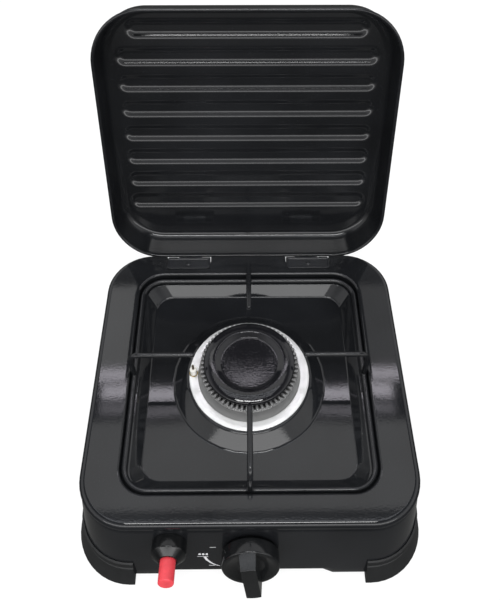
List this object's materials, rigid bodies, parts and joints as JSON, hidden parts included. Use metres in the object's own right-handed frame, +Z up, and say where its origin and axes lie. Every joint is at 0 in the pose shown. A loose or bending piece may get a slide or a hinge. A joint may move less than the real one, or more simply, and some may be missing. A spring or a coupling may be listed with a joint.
{
  "type": "tabletop gas stove",
  "caption": "Low enamelled single-burner gas tabletop stove with hinged ribbed lid, wire pan support, flame-control knob, push-button igniter and rear gas inlet.",
  "frame": {"origin": "on the table plane, under the burner axis and the middle of the top plate", "axes": "+Z up, -Y towards the user and the control panel, +X to the user's right"},
  "size_m": [0.2764, 0.3928, 0.2791],
  "materials": {
    "enamel": "gloss black vitreous enamel on pressed steel",
    "foot_plastic": "satin black moulded plastic",
    "hinge_black": "black painted steel",
    "zinc_steel": "bright zinc-plated steel",
    "burner_alu": "polished aluminium",
    "crown_alu": "die-cast aluminium",
    "cap_enamel": "gloss black enamel on steel",
    "tube_steel": "plain drawn steel",
    "brass": "turned brass",
    "pipe_alu": "drawn aluminium tube",
    "igniter_white": "off-white moulded plastic",
    "collar_black": "black plastic",
    "button_red": "red plastic",
    "lead_rubber": "black silicone insulation",
    "ceramic": null,
    "electrode_wire": "heat-darkened steel wire",
    "clip_steel": "yellow-passivated spring steel",
    "support_enamel": "black enamelled steel wire",
    "lid_enamel": "gloss black enamel on pressed steel",
    "strap_steel": "zinc-plated steel strap",
    "knob_plastic": "satin black phenolic plastic",
    "brass2": "turned brass"
  },
  "bodies": {
    "stove": {"body_shell": "enamel", "foot_front_left": "foot_plastic", "foot_front_right": "foot_plastic", "foot_rear_left": "foot_plastic", "foot_rear_right": "foot_plastic", "hinge_bracket_left": "hinge_black", "hinge_bracket_right": "hinge_black", "hinge_pin_left": "zinc_steel", "hinge_pin_right": "zinc_steel", "burner_cup": "burner_alu", "burner_crown": "crown_alu", "burner_clamp": "zinc_steel", "venturi_tube": "tube_steel", "venturi_bracket": "zinc_steel", "injector": "brass", "gas_valve": "brass", "valve_nut": "zinc_steel", "gas_pipe": "pipe_alu", "gas_inlet": "brass", "inlet_nut": "zinc_steel", "igniter_body": "igniter_white", "igniter_collar": "collar_black", "ignition_lead": "lead_rubber", "electrode_ceramic": "ceramic", "electrode_pin": "electrode_wire", "electrode_clip": "clip_steel"},
    "lid": {"lid": "lid_enamel", "lid_strap_left": "strap_steel", "lid_strap_right": "strap_steel"},
    "knob": {"knob": "knob_plastic", "knob_insert": "brass2", "valve_spindle": "zinc_steel"},
    "button": {"igniter_button": "button_red"},
    "support": {"pan_support": "support_enamel"},
    "cap": {"burner_cap": "cap_enamel"}
  },
  "joints": [
    {"name": "lid_hinge", "type": "hinge", "parent": "stove", "child": "lid", "pos_m": [0, 0.1225, 0.0598], "axis": [-1, 0, 0], "range_deg": [-108, 0]},
    {"name": "knob_turn", "type": "hinge", "parent": "stove", "child": "knob", "pos_m": [0, -0.13285, 0.036], "axis": [0, -0.9563, 0.2924], "range_deg": [0, 120]},
    {"name": "igniter_press", "type": "slide", "parent": "stove", "child": "button", "axis": [0, 0.9563, -0.2924], "range_m": [0, 0.008], "stiffness_N_per_m": 500, "springref_m": -0.004},
    {"name": "pan_support_lift", "type": "slide", "parent": "stove", "child": "support", "axis": [0, 0, 1], "range_m": [0, 0.06]},
    {"name": "burner_cap_lift", "type": "slide", "parent": "stove", "child": "cap", "axis": [0, 0, 1], "range_m": [0, 0.05]}
  ]
}
